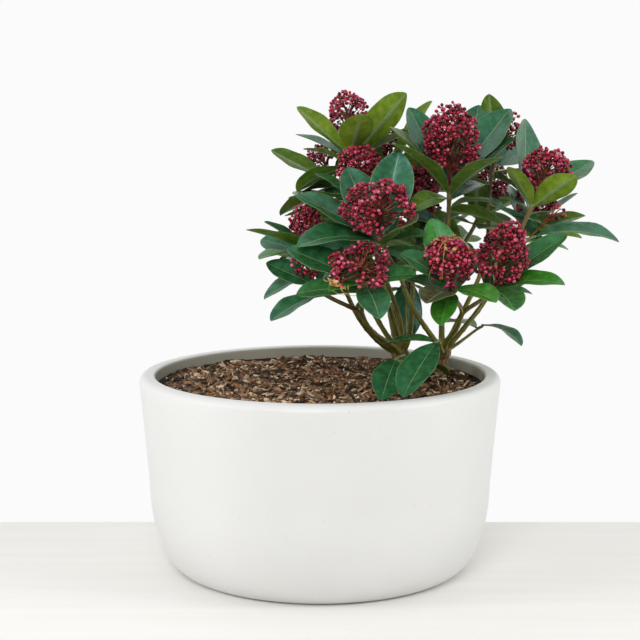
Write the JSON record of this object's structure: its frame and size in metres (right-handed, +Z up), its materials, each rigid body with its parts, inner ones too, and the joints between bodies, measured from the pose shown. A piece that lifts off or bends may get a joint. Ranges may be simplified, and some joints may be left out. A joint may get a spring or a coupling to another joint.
{
  "type": "potted skimmia shrub",
  "caption": "Evergreen skimmia in winter bud, glossy leaves in whorls under heads of small red flower buds, off centre in a low round white bowl pot",
  "frame": {"origin": "middle of the pot's flat underside, where it stands on a level surface", "axes": "+Z is up. -Y is the front, which the low front heads of buds lean towards. +X is to the right, the side of the pot that the shrub grows on."},
  "size_m": [0.4182, 0.355, 0.4234],
  "materials": {
    "pot": "matt white glaze over fired clay",
    "soil": "damp bark compost with wood chips and white perlite",
    "bark": "rough grey-brown bark",
    "green_stem": "smooth olive green young bark with a brown flush",
    "foliage": "thick glossy evergreen leaves and heads of small crimson flower buds"
  },
  "bodies": {
    "root": {"pot": "pot", "soil": "soil", "stool_left": "bark", "stool_right": "bark", "stem_top": "green_stem", "stem_upper_left": "green_stem", "stem_upper_right": "green_stem", "stem_front_middle": "green_stem", "stem_front_right": "green_stem", "stem_front_left": "green_stem", "stem_middle_left": "green_stem", "stem_left": "green_stem", "stem_middle": "green_stem", "stem_back_left": "green_stem", "stem_back": "green_stem", "stem_back_middle": "green_stem", "stem_back_right": "green_stem", "stem_low_front": "green_stem", "stem_low_right": "green_stem", "stem_low_left": "green_stem", "stem_low_back": "green_stem", "shoots_top": "foliage", "shoots_upper_left": "foliage", "shoots_upper_right": "foliage", "shoots_front_middle": "foliage", "shoots_front_right": "foliage", "shoots_front_left": "foliage", "shoots_middle_left": "foliage", "shoots_left": "foliage", "shoots_middle": "foliage", "shoots_back_left": "foliage", "shoots_back": "foliage", "shoots_back_middle": "foliage", "shoots_back_right": "foliage", "shoots_low_front": "foliage", "shoots_low_right": "foliage", "shoots_low_left": "foliage", "shoots_low_back": "foliage"}
  },
  "joints": []
}
